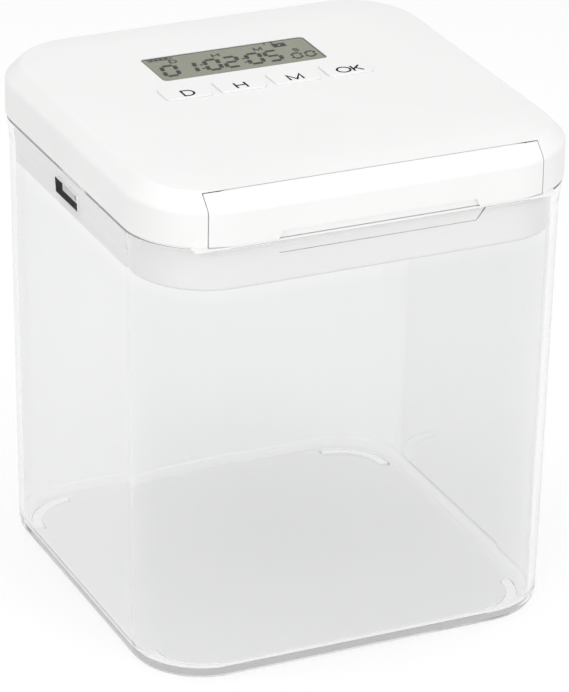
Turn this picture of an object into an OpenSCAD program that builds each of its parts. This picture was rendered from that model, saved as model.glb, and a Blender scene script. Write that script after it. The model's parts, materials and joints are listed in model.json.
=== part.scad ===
// Timed lock container: a clear square tub under a white lid that a clock keeps bolted shut.
// Millimetres, +Z up. The origin is under the middle of the tub, on the plane of its feet.
// The front of the lid, with the flap, faces -Y.

/* [Body] */
// Width and depth of the lid
body_w = 140; // [136:1:150]
// Corner radius of the lid in plan
corner_r = 26; // [24:1:30]
// Height of the lid's lower edge
lid_z = 143.2; // [130:0.1:165]
// Thickness of the clear wall
wall = 2.2; // [1.9:0.1:2.4]
// Thickness of the clear floor
floor_t = 3; // [2.4:0.1:4]
// Height of the corner feet
foot_h = 1; // [0.6:0.1:2]
// How much further in the tub's wall stands at its foot than near its rim
draft_in = 1.9; // [0.8:0.1:3]

/* [Lid] */
// Height of the lid's upright side
side_h = 11; // [10.5:0.1:13]
// Width and rise of the lid's bevel
bevel = 4.5; // [4.1:0.1:4.8]
// Rise of the top from the bevel to its flat middle
crown = 1.4; // [1.1:0.1:1.8]
// Thickness of the cover
cover_t = 2; // [1.7:0.1:2.2]
// Gap between the plug and the clear wall, each side
plug_gap = 0.4; // [0.3:0.05:0.7]

/* [Flap] */
// Width of the flap
flap_w = 106.5; // [96:0.5:107]
// Gap around the flap
flap_gap = 0.3; // [0.25:0.05:0.5]
// Width of the finger recess
grip_w = 61.8; // [40:0.1:80]
// Height of the finger recess
grip_h = 2.3; // [1.5:0.1:3.5]
// Depth of the finger recess
grip_d = 0.9; // [0.5:0.1:1.3]

/* [Display and keys] */
// Width of the display window
window_w = 54.3; // [44:0.1:58]
// Depth of the display window
window_d = 19.5; // [17:0.1:21]
// Width of a key
key_w = 14.6; // [12:0.1:15]
// Depth of a key
key_d = 9.4; // [8:0.1:10]
// Distance from key to key
key_pitch = 17.7; // [17.4:0.1:18.2]
// How far a key goes down
key_travel = 0.6; // [0.3:0.05:0.65]

/* [Lock] */
// Width of each bolt's rack
rack_w = 5; // [4:0.1:5.4]
// Gap around a bolt's nose in its guide
nose_gap = 0.15; // [0.1:0.01:0.25]

/* [Batteries] */
// Diameter of a cell
cell_d = 10.5; // [10:0.1:10.6]
// Length of a cell with its button
cell_l = 44.5; // [43.5:0.1:45]

/* [Hidden] */
$fn = 96;

half_w = body_w / 2;
cc = half_w - corner_r;
rim_z = lid_z - 0.6;
pb = lid_z - 15;
plug_in = 1.2 + wall + plug_gap;
bev_z = lid_z + side_h;
top_z = bev_z + bevel - 0.1 + crown;
roof_z = top_z - cover_t;
boss_xy = half_w - 22;
eps = 0.1;

// Hinge of the flap
hinge_y = -half_w + 4;
hinge_z = bev_z;
pin_r = 0.8;
cheek_x = flap_w / 2 + flap_gap;
pin_x = cheek_x + 1.65;
flap_y = -half_w + bevel + 0.5;
swing_r = norm([flap_y - hinge_y, bevel + 0.33]) + 0.05;

// Display, board and keys, from the top down
win_x = -3.8;
win_y = 26.6;
board_z = roof_z - 6.6;
board_t = 1.6;
switch_z = board_z + board_t;
key_y = 5.8;
key_x = [for (i = [0:3]) -2.4 + (i - 1.5) * key_pitch];
flange_z = roof_z - 1;
board_x = [-half_w + 20.5, half_w - 27.5];
board_y = [key_y - key_d / 2 - 7.5, half_w - 26];
post_in = 3.7;
post_xy = [for (x = [board_x[0] + post_in, board_x[1] - post_in],
    y = [board_y[0] + post_in, board_y[1] - post_in]) [x, y]];

// Pinion and racks
gear_m = 0.8;
gear_n = 12;
gear_pa = 25;
gear_r = gear_m * gear_n / 2;
base_r = gear_r * cos(gear_pa);
tip_h = 0.7;
root_h = 0.85;
tooth_w = PI * gear_m / 2 - 0.06;
gear_z = pb + 10.3;
rack_x = 6.5;

// Bolts
leg_in = half_w - 16;
leg_out = half_w - 12;
slot_y = [-6.9, 10.2];
slot_z = [pb + 4.7, pb + 9.7];
nose_x = half_w - 4.1;
nose_y = [slot_y[0] + 0.4, 1.9];
nose_step = [-4.5, slot_z[0] + 2.7];
nose_z = [slot_z[0] + 0.4, slot_z[1] - 0.4];

// Batteries
cell_y = [-46.05, -35.25, -24.45];
cell_z = pb + 3 + cell_d / 2;
bay_x = cell_l / 2 + 3.55;
bay_y0 = -51.8;
bay_y1 = -18.7;

white = [0.93, 0.93, 0.92];
dark = [0.13, 0.13, 0.14];
steel = [0.72, 0.73, 0.75];
brass = [0.78, 0.62, 0.32];

function arc(cx, cz, r, a0, a1, n) =
    [for (i = [0:n]) let (a = a0 + (a1 - a0) * i / n) [cx + r * cos(a), cz + r * sin(a)]];

function rrect(w, d, r) = concat(
    arc(w / 2 - r, d / 2 - r, r, 0, 90, 6),
    arc(-w / 2 + r, d / 2 - r, r, 90, 180, 6),
    arc(-w / 2 + r, -d / 2 + r, r, 180, 270, 6),
    arc(w / 2 - r, -d / 2 + r, r, 270, 360, 6));

// Profiles are lists of [distance in from the lid's side, height]
tub_out = concat(
    [[corner_r, foot_h]],
    arc(draft_in + 5.2, foot_h + 4, 4, -90, -180, 5),
    [[1.2, lid_z - 8.6], [0.3, rim_z], [corner_r, rim_z]]);

tub_in = concat(
    [[corner_r, foot_h + floor_t]],
    arc(draft_in + wall + 4.2, foot_h + floor_t + 3, 3, -90, -180, 5),
    [[1.2 + wall, lid_z - 8.6], [0.3 + wall, rim_z], [0.3 + wall, lid_z], [corner_r, lid_z]]);

cover_out = [
    [corner_r, lid_z], [0, lid_z], [0, bev_z - 0.83], [0.15, bev_z - 0.07],
    [0.59, bev_z + 0.59], [bevel - 0.6, bev_z + bevel - 0.6],
    [bevel - 0.1, bev_z + bevel - 0.2], [bevel + 0.6, bev_z + bevel + 0.12],
    [bevel + 1.7, bev_z + bevel + 0.1 + crown * 0.13],
    [bevel + 5.5, bev_z + bevel - 0.1 + crown * 0.55],
    [bevel + 10.5, bev_z + bevel - 0.1 + crown * 0.8],
    [bevel + 15.5, bev_z + bevel - 0.1 + crown * 0.96],
    [corner_r - 1, top_z], [corner_r, top_z]];

cover_in = [
    [corner_r, lid_z - 1], [cover_t, lid_z - 1], [cover_t, bev_z - 0.414 * cover_t],
    [bevel + 0.55 * cover_t, bev_z + bevel - 0.864 * cover_t],
    [bevel + 5.5, bev_z + bevel - 0.1 + crown * 0.55 - cover_t],
    [bevel + 10.5, bev_z + bevel - 0.1 + crown * 0.8 - cover_t],
    [bevel + 15.5, bev_z + bevel - 0.1 + crown * 0.96 - cover_t],
    [corner_r - 1, roof_z], [corner_r, roof_z]];

base_out = [
    [corner_r, pb], [plug_in + 1, pb], [plug_in, pb + 1], [plug_in, rim_z],
    [0.6, rim_z], [0.6, lid_z], [cover_t + 0.2, lid_z],
    [cover_t + 0.2, lid_z + 2], [corner_r, lid_z + 2]];

base_in = [
    [corner_r, pb + 2], [plug_in + 2, pb + 2], [plug_in + 2, lid_z],
    [plug_in + 0.1, lid_z], [plug_in + 0.1, lid_z + 3], [corner_r, lid_z + 3]];

shelf = [[corner_r, rim_z], [0.6, rim_z], [0.6, lid_z], [corner_r, lid_z]];

// One profile carried around the four sides and corners
module swept(pts) {
    for (q = [0:3]) {
        rotate([0, 0, q * 90])
        translate([cc, cc, 0])
        rotate_extrude(angle = 90)
        polygon([for (p = pts) [corner_r - p[0], p[1]]]);
        rotate([0, 0, q * 90])
        rotate([90, 0, 0])
        linear_extrude(2 * cc, center = true)
        polygon([for (p = pts) [half_w - p[0], p[1]]]);
    }
    z0 = pts[0][1];
    translate([-cc, -cc, z0])
    cube([2 * cc, 2 * cc, pts[len(pts) - 1][1] - z0]);
}

module box(x, y, z) {
    translate([x[0], y[0], z[0]])
    cube([x[1] - x[0], y[1] - y[0], z[1] - z[0]]);
}

module rod(x, y, z0, z1, r) {
    translate([x, y, z0])
    cylinder(h = z1 - z0, r = r);
}

module rod_x(x0, x1, y, z, r) {
    translate([x0, y, z])
    rotate([0, 90, 0])
    cylinder(h = x1 - x0, r = r);
}

module rod_y(x, y0, y1, z, r) {
    translate([x, y1, z])
    rotate([90, 0, 0])
    cylinder(h = y1 - y0, r = r);
}

module plate(x, y, z0, z1, w, d, r) {
    translate([x, y, z0])
    linear_extrude(z1 - z0)
    polygon(rrect(w, d, r));
}

// A shallow cut in the front, low_w wide at its foot and top_w at its top
module front_cut(low_w, top_w, z0, z1, deep) {
    translate([0, -half_w + deep, 0])
    rotate([90, 0, 0])
    linear_extrude(deep + 1)
    polygon([
        [-low_w / 2, z0], [-top_w / 2, z1], [top_w / 2, z1], [low_w / 2, z0]]);
}

module container() {
    color([0.85, 0.88, 0.9, 0.35]) {
        difference() {
            swept(tub_out);
            swept(tub_in);
            box([-half_w - 1, half_w + 1], slot_y, slot_z);
            front_cut(grip_w + 1.2, grip_w + 6.8, rim_z - 3.9, rim_z + eps, 1.1);
        }
        for (q = [0:3]) {
            rotate([0, 0, q * 90])
            translate([cc, cc, 0])
            rotate_extrude(angle = 90)
            polygon([
                [14.3, 0], [17.2, 0], [17.5, 0.3],
                [17.5, foot_h + 0.5], [14, foot_h + 0.5], [14, 0.3]]);
        }
    }
}

module base_solid() {
    difference() {
        swept(base_out);
        swept(base_in);
        box([-58.3, 58.3], [-half_w - 1, -55], [lid_z, lid_z + 3]);
        box([-half_w - 1, half_w + 1], [slot_y[0] + 0.2, slot_y[1] - 0.2],
            [slot_z[0] + 0.2, slot_z[1] - 0.2]);
    }
    intersection() {
        swept(shelf);
        box([-58, 58], [-half_w - 1, -half_w + 11.2], [rim_z - 1, lid_z + 1]);
    }
    for (x = [-boss_xy, boss_xy], y = [-boss_xy, boss_xy])
        rod(x, y, pb + 1.9, pb + 4.8, 5);
    box([-bay_x - 2.2, bay_x + 2.2], [bay_y0 - 2.2, bay_y1 + 2.2], [pb + 1.9, pb + 15.2]);
    box([-6.5, 6.5], [bay_y1 + 1.5, -8], [pb + 1.9, pb + 7.8]);
    box([-6, 6], [4.5, 27], [pb + 1.9, gear_z - 5]);
    box([-13, 13], [5.5, 12.5], [pb + 1.9, gear_z - 5]);
    for (s = [-1, 1])
        box([12, 50], [s * 3.7 - 0.7, s * 3.7 + 0.7], [pb + 1.9, pb + 4.4]);
    for (x = [-22, -46])
        box([x, x + 4], [-4.4, 4.4], [pb + 1.9, pb + 18]);
}

module lid_base() {
    color(white)
    difference() {
        base_solid();
        for (x = [-boss_xy, boss_xy], y = [-boss_xy, boss_xy]) {
            rod(x, y, pb - 1, pb + 2.4, 3.2);
            rod(x, y, pb - 1, pb + 6, 1.5);
        }
        box([-bay_x, bay_x], [bay_y0, bay_y1], [pb - 1, pb + 14]);
        box([-bay_x - 0.95, bay_x + 0.95], [bay_y0 - 0.95, bay_y1 + 0.95], [pb - 1, pb + 2]);
        box([-5.15, 5.15], [bay_y1, -9.35], [pb - 1, pb + 2]);
        rod(0, -13, pb + 1, pb + 7.3, 1.02);
        for (x = [-10.2, 10.2])
            rod(x, 9, pb + 2.8, gear_z, 1.02);
        box([-50, -10], [-rack_w / 2 - 0.1, rack_w / 2 + 0.1], [pb + 15.9, pb + 20]);
    }
}

module lid_cover() {
    color(white)
    difference() {
        union() {
            difference() {
                swept(cover_out);
                swept(cover_in);
            }
            intersection() {
                swept(cover_out);
                union() {
                    for (s = [-1, 1])
                        box([s * (cheek_x + 58) / 2 - (58 - cheek_x) / 2,
                            s * (cheek_x + 58) / 2 + (58 - cheek_x) / 2],
                            [-half_w - 1, -half_w + 11], [lid_z, top_z]);
                    box([-58, 58], [-half_w + 9.4, -half_w + 11], [lid_z, roof_z + 0.2]);
                }
            }
            for (x = [-boss_xy, boss_xy], y = [-boss_xy, boss_xy])
                rod(x, y, pb + 4.8, roof_z + 0.2, 3.5);
            for (p = post_xy)
                rod(p[0], p[1], switch_z, roof_z + 0.2, 2.5);
        }
        box([-cheek_x, cheek_x], [-half_w - 1, flap_y + 0.3], [lid_z - 1, top_z + 1]);
        rod_x(-cheek_x, cheek_x, hinge_y, hinge_z, swing_r + 0.1);
        for (s = [-1, 1])
            rod_x(s * (pin_x - 2) - 2, s * (pin_x - 2) + 2, hinge_y, hinge_z, pin_r + 0.01);
        for (x = [-boss_xy, boss_xy], y = [-boss_xy, boss_xy])
            rod(x, y, pb + 4, lid_z + 3, 1.28);
        for (p = post_xy)
            rod(p[0], p[1], switch_z - 1, roof_z - 1, 0.92);
        plate(win_x, win_y, roof_z - 1, top_z + 1, window_w, window_d, 1.5);
        for (x = key_x)
            plate(x, key_y, roof_z - 1, top_z + 1, key_w + 0.4, key_d + 0.4, 1.5);
    }
}

module front_flap() {
    color(white)
    difference() {
        union() {
            intersection() {
                difference() {
                    swept(cover_out);
                    swept(cover_in);
                }
                box([-flap_w / 2, flap_w / 2], [-half_w - 1, flap_y], [lid_z + 0.25, top_z]);
            }
            intersection() {
                swept(cover_out);
                union() {
                    rod_x(-flap_w / 2, -flap_w / 2 + 3.8, hinge_y, hinge_z, swing_r - 0.4);
                    rod_x(flap_w / 2 - 3.8, flap_w / 2, hinge_y, hinge_z, swing_r - 0.4);
                }
                box([-60, 60], [-half_w - 1, hinge_y + 2.2], [lid_z, top_z]);
            }
        }
        rod_x(-60, 60, hinge_y, hinge_z, pin_r + 0.05);
        front_cut(grip_w + 2.5, grip_w, lid_z, lid_z + 0.25 + grip_h, grip_d);
    }
}

module flap_pins() {
    color(steel)
    for (s = [-1, 1])
        rod_x(s * (pin_x - 2.9) - 2.9, s * (pin_x - 2.9) + 2.9, hinge_y, hinge_z, pin_r);
}

module display_lens() {
    color([0.55, 0.57, 0.47])
    plate(win_x, win_y, roof_z + 1, roof_z + 1.7, window_w - 0.2, window_d - 0.2, 1.4);
}

module display_glass() {
    color([0.5, 0.53, 0.45])
    plate(win_x, win_y, roof_z - 1.2, roof_z + 1, window_w - 0.2, window_d - 0.2, 1.4);
}

module display_holder() {
    color([0.9, 0.9, 0.88])
    difference() {
        plate(win_x, win_y, switch_z, roof_z, window_w + 5.7, window_d + 5.5, 1);
        plate(win_x, win_y, roof_z - 1.2, roof_z + 1, window_w, window_d, 1.5);
        box([win_x - window_w / 2 + 2, win_x + window_w / 2 - 2],
            [win_y - window_d / 2 + 2, win_y + window_d / 2 - 2], [switch_z - 1, roof_z]);
    }
}

module display_connector() {
    color([0.2, 0.2, 0.22])
    box([win_x - 18, win_x + 18], [win_y + 3.5, win_y + 6.5], [switch_z, roof_z - 1.2]);
}

module main_board() {
    color([0.1, 0.35, 0.2])
    difference() {
        box(board_x, board_y, [board_z, switch_z]);
        for (p = post_xy)
            rod(p[0], p[1], board_z - 1, switch_z + 1, 1.1);
    }
}

module switch_bodies() {
    color(dark)
    for (x = key_x)
        difference() {
            box([x - 3, x + 3], [key_y - 3, key_y + 3], [switch_z, flange_z - 1]);
            rod(x, key_y, flange_z - 3.5, flange_z, 1.6);
        }
}

module controller_chip() {
    color(dark)
    box([15, 27], [24, 36], [board_z - 1.4, board_z]);
}

module buzzer() {
    color(dark)
    difference() {
        rod(-28, 26, board_z - 4.5, board_z, 6);
        rod(-28, 26, board_z - 5, board_z - 4, 1);
    }
}

module board_screws() {
    color(steel)
    for (p = post_xy) {
        rod(p[0], p[1], board_z - 1.4, board_z, 1.9);
        rod(p[0], p[1], board_z - eps, roof_z - 1.5, 0.9);
    }
}

module key(i) {
    color([0.91, 0.91, 0.9]) {
        plate(key_x[i], key_y, flange_z, flange_z + 0.9, key_w + 1.8, key_d + 1.6, 1);
        plate(key_x[i], key_y, flange_z + 0.8, top_z + 0.6, key_w, key_d, 1.4);
    }
}

module key_days() {
    key(0);
}

module key_hours() {
    key(1);
}

module key_minutes() {
    key(2);
}

module key_ok() {
    key(3);
}

module stem(i) {
    color([0.75, 0.2, 0.18])
    rod(key_x[i], key_y, flange_z - 3.5 + key_travel + 0.1, flange_z, 1.5);
}

module stem_days() {
    stem(0);
}

module stem_hours() {
    stem(1);
}

module stem_minutes() {
    stem(2);
}

module stem_ok() {
    stem(3);
}

module gearbox() {
    color(brass)
    box([-6, 6], [4, 13], [gear_z - 5, gear_z + 5]);
}

module motor_can() {
    color(steel)
    intersection() {
        rod_y(0, 13, 28, gear_z, 6);
        box([-7, 7], [13, 28], [gear_z - 5, gear_z + 5]);
    }
}

module motor_bracket() {
    color(dark)
    difference() {
        union() {
            box([-7.1, 7.1], [6, 12], [gear_z - 5, gear_z + 6.1]);
            box([-13, 13], [6, 12], [gear_z - 5, gear_z - 4]);
        }
        box([-6.02, 6.02], [5, 13], [gear_z - 6, gear_z + 5.02]);
        for (x = [-10.2, 10.2])
            rod(x, 9, gear_z - 6, gear_z, 1.1);
    }
}

module bracket_screws() {
    color(steel)
    for (x = [-10.2, 10.2]) {
        rod(x, 9, gear_z - 4, gear_z - 2.7, 1.9);
        rod(x, 9, pb + 3.2, gear_z - 3.9, 1);
    }
}

module drive_shaft() {
    color(steel)
    rod_y(0, -3.5, 4, gear_z, 1.5);
}

function half_tooth(r) =
    let (a = acos(base_r / r))
    (tooth_w / 2 / gear_r + tan(gear_pa) - gear_pa * PI / 180 - tan(a) + a * PI / 180) * 180 / PI;

module drive_pinion() {
    steps = 6;
    top = gear_r + tip_h;
    low = gear_r - root_h;
    flank = [for (i = [0:steps]) base_r + 0.001 + (top - base_r - 0.001) * i / steps];
    tooth = concat(
        [[low, -half_tooth(base_r + 0.001)]],
        [for (r = flank) [r, -half_tooth(r)]],
        [for (i = [0:steps]) [flank[steps - i], half_tooth(flank[steps - i])]],
        [[low, half_tooth(base_r + 0.001)]]);
    color(brass)
    difference() {
        translate([0, 2.5, gear_z])
        rotate([90, 0, 0])
        linear_extrude(5)
        polygon([for (k = [0:gear_n - 1], t = tooth)
            let (a = 90 + k * 360 / gear_n + t[1]) [t[0] * cos(a), t[0] * sin(a)]]);
        rod_y(0, -3, 3, gear_z, 1.51);
    }
}

// Teeth that point along s, with a gap over x = 0
module rack_teeth(s) {
    pitch = PI * gear_m;
    tan_pa = tan(gear_pa);
    for (k = [-2:1])
        translate([(k + 0.5) * pitch, rack_w / 2, gear_z - s * gear_r])
        rotate([90, 0, 0])
        linear_extrude(rack_w)
        polygon([
            [-tooth_w / 2 - (root_h + eps) * tan_pa, -s * (root_h + eps)],
            [tooth_w / 2 + (root_h + eps) * tan_pa, -s * (root_h + eps)],
            [tooth_w / 2 - tip_h * tan_pa, s * tip_h],
            [-tooth_w / 2 + tip_h * tan_pa, s * tip_h]]);
}

// The stepped nose, from x = 0 to long, with a margin round it
module nose(long, more) {
    rotate([90, 0, 90])
    linear_extrude(long)
    polygon([
        [nose_y[0] - more, nose_z[0] - more], [nose_step[0] + more, nose_z[0] - more],
        [nose_step[0] + more, nose_step[1] - more], [nose_y[1] + more, nose_step[1] - more],
        [nose_y[1] + more, nose_z[1] + more], [nose_y[0] - more, nose_z[1] + more]]);
}

module lock_bolt_left() {
    low = gear_z + gear_r + root_h;
    color([0.9, 0.9, 0.88]) {
        rack_teeth(-1);
        box([-leg_out, rack_x], [-rack_w / 2, rack_w / 2], [low, low + 2.15]);
        box([-leg_out, -leg_in], [nose_y[0], rack_w / 2], [nose_z[0], low + 2.15]);
        translate([-nose_x, 0, 0])
        nose(nose_x - leg_out + 1, 0);
    }
}

module lock_bolt_right() {
    high = gear_z - gear_r - root_h;
    color([0.9, 0.9, 0.88]) {
        rack_teeth(1);
        box([-rack_x, leg_out], [-rack_w / 2, rack_w / 2], [high - 2.4, high]);
        box([leg_in, leg_out], [nose_y[0], rack_w / 2], [high - 2.4, nose_z[1]]);
        translate([leg_out - 1, 0, 0])
        nose(nose_x - leg_out + 1, 0);
    }
}

module guide(s) {
    x = half_w - plug_in - 2;
    color(dark)
    difference() {
        box([s * (x - 1.6) - 1.6, s * (x - 1.6) + 1.6], [slot_y[0] - 1.8, slot_y[1] + 2],
            [pb + 2, slot_z[1] + 1.7]);
        translate([s * x - 8, 0, 0])
        nose(16, nose_gap);
    }
}

module bolt_guide_left() {
    guide(-1);
}

module bolt_guide_right() {
    guide(1);
}

module limit_switch() {
    color(dark)
    box([-leg_in + 1.2, -leg_in + 7], [-6.4, -2.8], [pb + 2, pb + 8]);
    color([0.75, 0.2, 0.18])
    rod_x(-leg_in + 0.3, -leg_in + 1.3, -4.6, pb + 6.3, 0.8);
}

// A cell along X, its button towards s
module cell(y, s) {
    translate([0, y, cell_z])
    rotate([0, s * 90, 0])
    translate([0, 0, -cell_l / 2])
    rotate_extrude()
    polygon([
        [0, 0], [cell_d / 2 - 0.6, 0], [cell_d / 2, 0.6], [cell_d / 2, cell_l - 1.4],
        [cell_d / 2 - 0.6, cell_l - 0.8], [1.9, cell_l - 0.8], [1.9, cell_l], [0, cell_l]]);
}

module battery_cells() {
    color([0.2, 0.35, 0.3]) {
        cell(cell_y[0], 1);
        cell(cell_y[1], -1);
        cell(cell_y[2], 1);
    }
}

module battery_contacts() {
    color(steel) {
        for (s = [-1, 1])
            box([s * (bay_x - 0.25) - 0.25, s * (bay_x - 0.25) + 0.25],
                [bay_y0 + 0.8, bay_y1 - 0.8], [pb + 3.4, pb + 13.2]);
        for (i = [0:2]) {
            s = i == 1 ? -1 : 1;
            m = (bay_x - 0.45 + cell_l / 2) / 2;
            w = m - cell_l / 2;
            rod_x(s * m - w, s * m + w, cell_y[i], cell_z, 2.6);
        }
    }
}

module battery_springs() {
    long = bay_x - 0.5 - cell_l / 2;
    color(steel)
    for (i = [0:2])
        translate([(i == 1 ? 1 : -1) * (bay_x - 0.5), cell_y[i], cell_z])
        rotate([0, i == 1 ? -90 : 90, 0])
        rotate_extrude()
        polygon([
            [3.6, 0], [2.9, long * 0.25], [3.2, long * 0.5], [2.4, long * 0.75], [2.8, long],
            [2.2, long], [1.8, long * 0.75], [2.6, long * 0.5], [2.3, long * 0.25], [3, 0]]);
}

module battery_door() {
    color(white)
    difference() {
        union() {
            box([-bay_x - 0.8, bay_x + 0.8], [bay_y0 - 0.8, bay_y1 + 0.8], [pb, pb + 2]);
            box([-5, 5], [bay_y1, -9.5], [pb, pb + 2]);
        }
        rod(0, -13, pb - 1, pb + 1.6, 2.5);
        rod(0, -13, pb - 1, pb + 3, 1.15);
    }
}

module battery_door_screw() {
    color(steel) {
        rod(0, -13, pb + 0.3, pb + 1.6, 2.3);
        rod(0, -13, pb + 1.5, pb + 6.8, 1);
    }
}

module base_screws() {
    color(steel)
    for (x = [-boss_xy, boss_xy], y = [-boss_xy, boss_xy]) {
        rod(x, y, pb + 0.4, pb + 2.4, 2.9);
        rod(x, y, pb + 2.3, pb + 13, 1.25);
    }
}

module motor_leads() {
    color([0.7, 0.1, 0.1])
    box([1.8, 2.8], [28, 29], [gear_z - 0.5, board_z]);
    color(dark)
    box([-2.8, -1.8], [28, 29], [gear_z - 0.5, board_z]);
}

module battery_leads() {
    color(dark)
    for (x = [12, 18]) {
        box([x, x + 2], [bay_y1, bay_y1 + 0.8], [pb + 15.2, board_z - 2]);
        box([x, x + 2], [bay_y1, -2], [board_z - 2.8, board_z - 2]);
        box([x, x + 2], [-2.8, -2], [board_z - 2.8, board_z]);
    }
}

container();
lid_base();
lid_cover();
front_flap();
flap_pins();
display_lens();
display_glass();
display_holder();
display_connector();
main_board();
switch_bodies();
controller_chip();
buzzer();
board_screws();
key_days();
key_hours();
key_minutes();
key_ok();
stem_days();
stem_hours();
stem_minutes();
stem_ok();
gearbox();
motor_can();
motor_bracket();
bracket_screws();
drive_shaft();
drive_pinion();
lock_bolt_left();
lock_bolt_right();
bolt_guide_left();
bolt_guide_right();
limit_switch();
battery_cells();
battery_contacts();
battery_springs();
battery_door();
battery_door_screw();
base_screws();
motor_leads();
battery_leads();
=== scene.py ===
"""Timed lock container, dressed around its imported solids. Metres, +Z up, the front towards -Y.

Lengths in the tables below are millimetres and are scaled by MM where they become geometry.
"""

import json
import math

import bmesh
import bpy
from mathutils import Matrix, Vector


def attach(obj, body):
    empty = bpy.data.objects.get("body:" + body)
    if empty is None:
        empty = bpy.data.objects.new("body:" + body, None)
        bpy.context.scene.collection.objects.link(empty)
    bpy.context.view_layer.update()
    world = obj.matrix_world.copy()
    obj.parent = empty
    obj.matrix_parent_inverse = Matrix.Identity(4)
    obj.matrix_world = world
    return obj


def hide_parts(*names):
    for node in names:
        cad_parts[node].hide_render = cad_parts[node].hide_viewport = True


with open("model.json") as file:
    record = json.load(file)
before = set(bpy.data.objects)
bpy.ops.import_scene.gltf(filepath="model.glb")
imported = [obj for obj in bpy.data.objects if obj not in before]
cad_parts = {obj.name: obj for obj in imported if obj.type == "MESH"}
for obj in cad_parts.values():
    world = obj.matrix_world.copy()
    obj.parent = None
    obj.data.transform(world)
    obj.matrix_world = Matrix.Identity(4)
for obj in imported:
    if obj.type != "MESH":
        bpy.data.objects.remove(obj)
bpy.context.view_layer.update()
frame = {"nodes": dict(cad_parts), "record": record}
scene = bpy.context.scene
scene.view_settings.view_transform = "Standard"

MM = 0.001
HALF, CORNER = 70.0, 26.0
CENTRE = HALF - CORNER
LID_Z, RIM_Z, BEVEL_Z, TOP_Z, ROOF_Z = 143.2, 142.6, 154.2, 160.0, 158.0
PLUG_Z = LID_Z - 15.0
HINGE_Y, HINGE_Z = -66.0, 154.2
FLAP_HALF, CHEEK_X = 53.25, 53.55
SWING_R, LIP_R = 4.98, 4.85
PIN_X, PIN_BORE_R, FLAP_BORE_R = 53.2, 0.81, 0.85
GAP_Y, FLAP_Y, SHUT_GAP = -64.7, -64.78, 0.25
KEY_X = [-28.95, -11.25, 6.45, 24.15]
KEY_Y, KEY_W, KEY_D, KEY_TOP = 5.8, 14.6, 9.4, 160.6
WIN_X, WIN_Y, WIN_W, WIN_D = -3.8, 26.6, 54.3, 19.5
POSTS = [(-45.8, -2.7), (38.8, -2.7), (-45.8, 40.3), (38.8, 40.3)]
BOSS = 48.0
SLOT_Y, SLOT_Z = (-6.9, 10.2), (132.9, 137.9)
NOSE_END = 1.9
GRIP_HALF, GRIP_H, GRIP_D = 30.9, 2.3, 0.9
CELL_Z = 159.0
# Cutters reach past the lid's side and its top
PAST_SIDE, PAST_TOP = HALF + 1, TOP_Z + 1


# ---------------------------------------------------------------- geometry


def round_path(points, steps=6):
    """A polyline with each (x, z, radius) corner turned into an arc."""
    out = []
    for i, (x, z, r) in enumerate(points):
        here = Vector((x, z))
        if not r or i in (0, len(points) - 1):
            out.append(here)
            continue
        a = (Vector(points[i - 1][:2]) - here).normalized()
        b = (Vector(points[i + 1][:2]) - here).normalized()
        half = a.angle(b) / 2
        reach = r / math.tan(half)
        middle = here + (a + b).normalized() * (r / math.sin(half))
        start, end = here + a * reach - middle, here + b * reach - middle
        turn = start.angle_signed(end)
        for k in range(steps + 1):
            c, s = math.cos(-turn * k / steps), math.sin(-turn * k / steps)
            out.append(middle + Vector((start.x * c - start.y * s, start.x * s + start.y * c)))
    return [(p.x, p.y) for p in out]


def ring(inset, z, steps):
    """Points round the rounded square at that distance in from the lid's side."""
    out, r = [], CORNER - inset
    for q in range(4):
        turn = math.pi / 2 * q
        reach = CENTRE * math.sqrt(2)
        cx, cy = reach * math.cos(turn + math.pi / 4), reach * math.sin(turn + math.pi / 4)
        for k in range(steps + 1):
            a = turn + math.pi / 2 * k / steps
            out.append(Vector((cx + r * math.cos(a), cy + r * math.sin(a), z)) * MM)
    return out


def add_sweep(bm, profile, steps=22):
    """A solid whose skin is the profile carried round the four corners, with both ends closed."""
    rings = [[bm.verts.new(p) for p in ring(i, z, steps)] for i, z in profile]
    n = len(rings[0])
    for low, high in zip(rings, rings[1:]):
        for k in range(n):
            bm.faces.new((low[k], low[(k + 1) % n], high[(k + 1) % n], high[k]))
    bm.faces.new(rings[0][::-1])
    bm.faces.new(rings[-1])


def add_prism(bm, outline, low, high, axis="Z"):
    """An outline pulled along an axis, between two heights. The outline is XY, YZ or XZ."""
    place = {
        "Z": lambda a, b, h: (a, b, h),
        "X": lambda a, b, h: (h, a, b),
        "Y": lambda a, b, h: (a, h, b),
    }[axis]
    bottom = [bm.verts.new(Vector(place(a, b, low)) * MM) for a, b in outline]
    top = [bm.verts.new(Vector(place(a, b, high)) * MM) for a, b in outline]
    n = len(outline)
    bm.faces.new(bottom[::-1])
    bm.faces.new(top)
    for k in range(n):
        bm.faces.new((bottom[k], bottom[(k + 1) % n], top[(k + 1) % n], top[k]))


def box_outline(x, y):
    return [(x[0], y[0]), (x[1], y[0]), (x[1], y[1]), (x[0], y[1])]


def mirrored(right):
    """An outline from its right half, listed from the top down or from the bottom up."""
    return right + [(-a, b) for a, b in reversed(right)]


def disc(x, y, r, n=48):
    return [(x + r * math.cos(2 * math.pi * k / n), y + r * math.sin(2 * math.pi * k / n)) for k in range(n)]


def round_rect(x, y, w, d, r, n=8):
    out = []
    for q, (sx, sy) in enumerate(((1, 1), (-1, 1), (-1, -1), (1, -1))):
        for k in range(n + 1):
            a = math.pi / 2 * (q + k / n)
            out.append((x + sx * (w / 2 - r) + r * math.cos(a), y + sy * (d / 2 - r) + r * math.sin(a)))
    return out


def mesh_object(name, bm):
    bmesh.ops.recalc_face_normals(bm, faces=bm.faces)
    mesh = bpy.data.meshes.new(name)
    bm.to_mesh(mesh)
    bm.free()
    obj = bpy.data.objects.new(name, mesh)
    scene.collection.objects.link(obj)
    return obj


def build(name, make):
    bm = bmesh.new()
    make(bm)
    return mesh_object(name, bm)


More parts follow.
